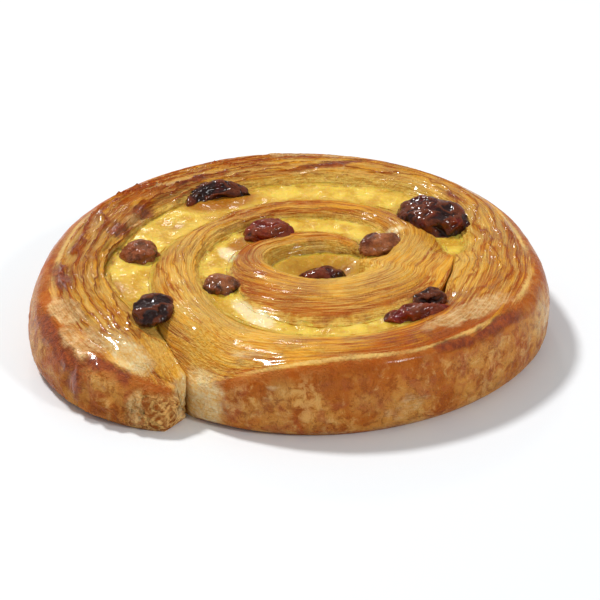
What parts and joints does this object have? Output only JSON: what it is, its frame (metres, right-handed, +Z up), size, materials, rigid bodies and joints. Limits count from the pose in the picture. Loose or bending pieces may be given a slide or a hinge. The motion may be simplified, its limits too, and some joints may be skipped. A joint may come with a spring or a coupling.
{
  "type": "danish pastry",
  "caption": "Flat oval danish pastry: a laminated dough strip rolled into a swirl round yellow custard, with raisins set in the swirl and a glazed brown crust.",
  "frame": {"origin": "middle of the pastry's bounding box, at the flat underside that rests on the table", "axes": "+X along the long way of the oval, to the right as the picture shows it; +Y away from the tail of the roll, to the back of the picture; +Z up"},
  "size_m": [0.1134, 0.1035, 0.0217],
  "materials": {
    "crust": "golden-brown baked dough under a thin clear glaze",
    "custard": "glossy set custard",
    "raisin": "dark wrinkled skin, partly glazed"
  },
  "bodies": {
    "root": {"dough": "crust", "custard": "custard", "raisin_1": "raisin", "raisin_2": "raisin", "raisin_3": "raisin", "raisin_4": "raisin", "raisin_5": "raisin", "raisin_6": "raisin", "raisin_7": "raisin", "raisin_8": "raisin", "raisin_9": "raisin", "raisin_10": "raisin"}
  },
  "joints": []
}
